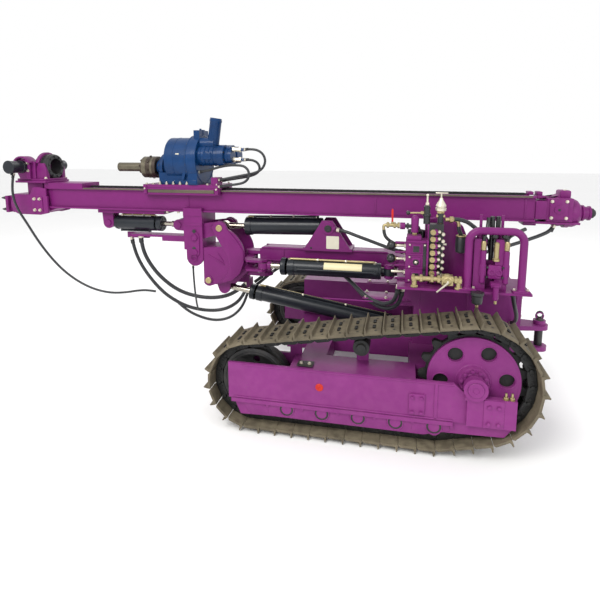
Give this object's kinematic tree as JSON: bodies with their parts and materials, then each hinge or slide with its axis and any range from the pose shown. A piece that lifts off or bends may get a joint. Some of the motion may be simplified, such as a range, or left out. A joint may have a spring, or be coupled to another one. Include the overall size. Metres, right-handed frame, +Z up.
{
  "type": "crawler drilling rig",
  "caption": "Small crawler drill rig with two fixed track loops, a lifting and swinging boom, a long tilting mast and a rotary head that slides along it.",
  "frame": {"origin": "on the ground, under the middle of the rig's box", "axes": "+X forward towards the mast's foot, +Y to the rig's left, +Z up"},
  "size_m": [4.964, 1.854, 2.1493],
  "materials": {
    "purple_paint": "semi-gloss purple machine enamel",
    "blue_paint": "gloss blue enamel on castings",
    "black_paint": "gloss black paint",
    "track_steel": "brown-grey worn track steel",
    "dark_steel": "dark oily steel",
    "polished_rod": "ground chrome rod",
    "brass": "dull brass fittings",
    "rubber": "matt black hydraulic hose"
  },
  "bodies": {
    "chassis": {"main_frame": "purple_paint", "tow_hitch": "purple_paint", "track_left": "track_steel", "track_right": "track_steel", "idler_left": "dark_steel", "idler_right": "dark_steel", "drive_wheel_left": "purple_paint", "drive_wheel_right": "purple_paint", "track_frame_left": "purple_paint", "track_frame_right": "purple_paint", "travel_motor_left": "purple_paint", "travel_motor_right": "purple_paint", "control_stand": "purple_paint", "valve_bank": "purple_paint", "travel_valves": "purple_paint", "hand_rail": "purple_paint", "air_line": "brass", "air_filter": "black_paint", "hose_tilt": "rubber", "hose_valve": "rubber"},
    "boom": {"boom": "purple_paint", "boom_pipes": "rubber", "hose_boom_1": "rubber", "hose_boom_2": "rubber"},
    "boom_head": {"boom_head": "purple_paint", "hose_head_1": "rubber", "hose_head_2": "rubber"},
    "tilt_frame": {"sector_plates": "purple_paint", "mast_bracket": "purple_paint", "extend_rod": "polished_rod", "hose_feed_1": "rubber", "hose_feed_2": "rubber", "hose_feed_3": "rubber", "hose_bracket": "rubber"},
    "mast": {"mast_beam": "purple_paint", "mast_foot": "purple_paint", "rod_clamp": "purple_paint", "feed_motor": "purple_paint", "feed_chain": "dark_steel", "extend_barrel": "black_paint", "hose_clamp": "rubber", "hose_mast": "rubber"},
    "carriage": {"carriage": "purple_paint", "rotary_head": "blue_paint", "head_motors": "blue_paint", "hose_motor_1": "rubber", "hose_motor_2": "rubber", "hose_motor_3": "rubber"},
    "spindle": {"spindle": "dark_steel"},
    "lift_yoke": {"lift_yoke": "purple_paint"},
    "lift_barrel": {"lift_barrel": "black_paint"},
    "lift_rod": {"lift_rod": "polished_rod"},
    "tilt_yoke": {"tilt_yoke": "purple_paint"},
    "tilt_barrel": {"tilt_barrel": "black_paint"},
    "tilt_rod": {"tilt_rod": "polished_rod"},
    "swing_barrel": {"swing_barrel": "black_paint"},
    "swing_rod": {"swing_rod": "polished_rod"}
  },
  "joints": [
    {"name": "boom_lift", "type": "hinge", "parent": "chassis", "child": "boom", "pos_m": [-1.18, 0, 1.01], "axis": [0, -1, 0], "range_deg": [-10, 20]},
    {"name": "head_swing", "type": "hinge", "parent": "boom", "child": "boom_head", "pos_m": [0.09, 0, 0.982], "axis": [0, 0, 1], "range_deg": [0, 18]},
    {"name": "mast_tilt", "type": "hinge", "parent": "boom_head", "child": "tilt_frame", "pos_m": [0.432, 0, 0.815], "axis": [0, 1, 0], "range_deg": [0, 62]},
    {"name": "mast_slide", "type": "slide", "parent": "tilt_frame", "child": "mast", "axis": [1, 0, 0], "range_m": [0, 0.235]},
    {"name": "feed", "type": "slide", "parent": "mast", "child": "carriage", "axis": [1, 0, 0], "range_m": [-2.1, 0.55]},
    {"name": "spindle_turn", "type": "hinge", "parent": "carriage", "child": "spindle", "pos_m": [1, 0, 1.745], "axis": [1, 0, 0], "continuous": true},
    {"name": "lift_yaw", "type": "hinge", "parent": "chassis", "child": "lift_yoke", "pos_m": [-1.15, 0, 0.49], "axis": [0, 0, 1], "range_deg": [0, 2.86]},
    {"name": "lift_pitch", "type": "hinge", "parent": "lift_yoke", "child": "lift_barrel", "pos_m": [-1.15, 0, 0.49], "axis": [0, -1, 0], "range_deg": [-9.49, 18.98]},
    {"name": "lift_stroke", "type": "slide", "parent": "lift_barrel", "child": "lift_rod", "axis": [0.9861, 0, 0.1664], "range_m": [-0.0903, 0.1805]},
    {"name": "tilt_yaw", "type": "hinge", "parent": "boom", "child": "tilt_yoke", "pos_m": [-0.565, 0, 1.28], "axis": [0, 0, 1], "range_deg": [0, 7.53]},
    {"name": "tilt_pitch", "type": "hinge", "parent": "tilt_yoke", "child": "tilt_barrel", "pos_m": [-0.565, 0, 1.28], "axis": [0, 1, 0], "range_deg": [0, 4.55]},
    {"name": "tilt_stroke", "type": "slide", "parent": "tilt_barrel", "child": "tilt_rod", "axis": [0.9997, 0, -0.0246], "range_m": [-0.0001, 0.4769]},
    {"name": "swing_yaw", "type": "hinge", "parent": "boom", "child": "swing_barrel", "pos_m": [-1.046, 0.19, 0.982], "axis": [0, 0, 1], "range_deg": [-3.37, 0]},
    {"name": "swing_stroke", "type": "slide", "parent": "swing_barrel", "child": "swing_rod", "axis": [1, 0, 0], "range_m": [-0.0533, 0.0001]}
  ],
  "couplings": [
    {"joint": "lift_yaw", "follows": "head_swing", "ratio": 0.15552},
    {"joint": "lift_pitch", "follows": "boom_lift", "ratio": 0.93047},
    {"joint": "lift_stroke", "follows": "boom_lift", "m_per_rad": 0.50661},
    {"joint": "tilt_yaw", "follows": "head_swing", "ratio": 0.41},
    {"joint": "tilt_pitch", "follows": "mast_tilt", "ratio": 0.072},
    {"joint": "tilt_stroke", "follows": "mast_tilt", "m_per_rad": 0.432},
    {"joint": "swing_yaw", "follows": "head_swing", "ratio": -0.18357},
    {"joint": "swing_stroke", "follows": "head_swing", "m_per_rad": -0.16589}
  ]
}
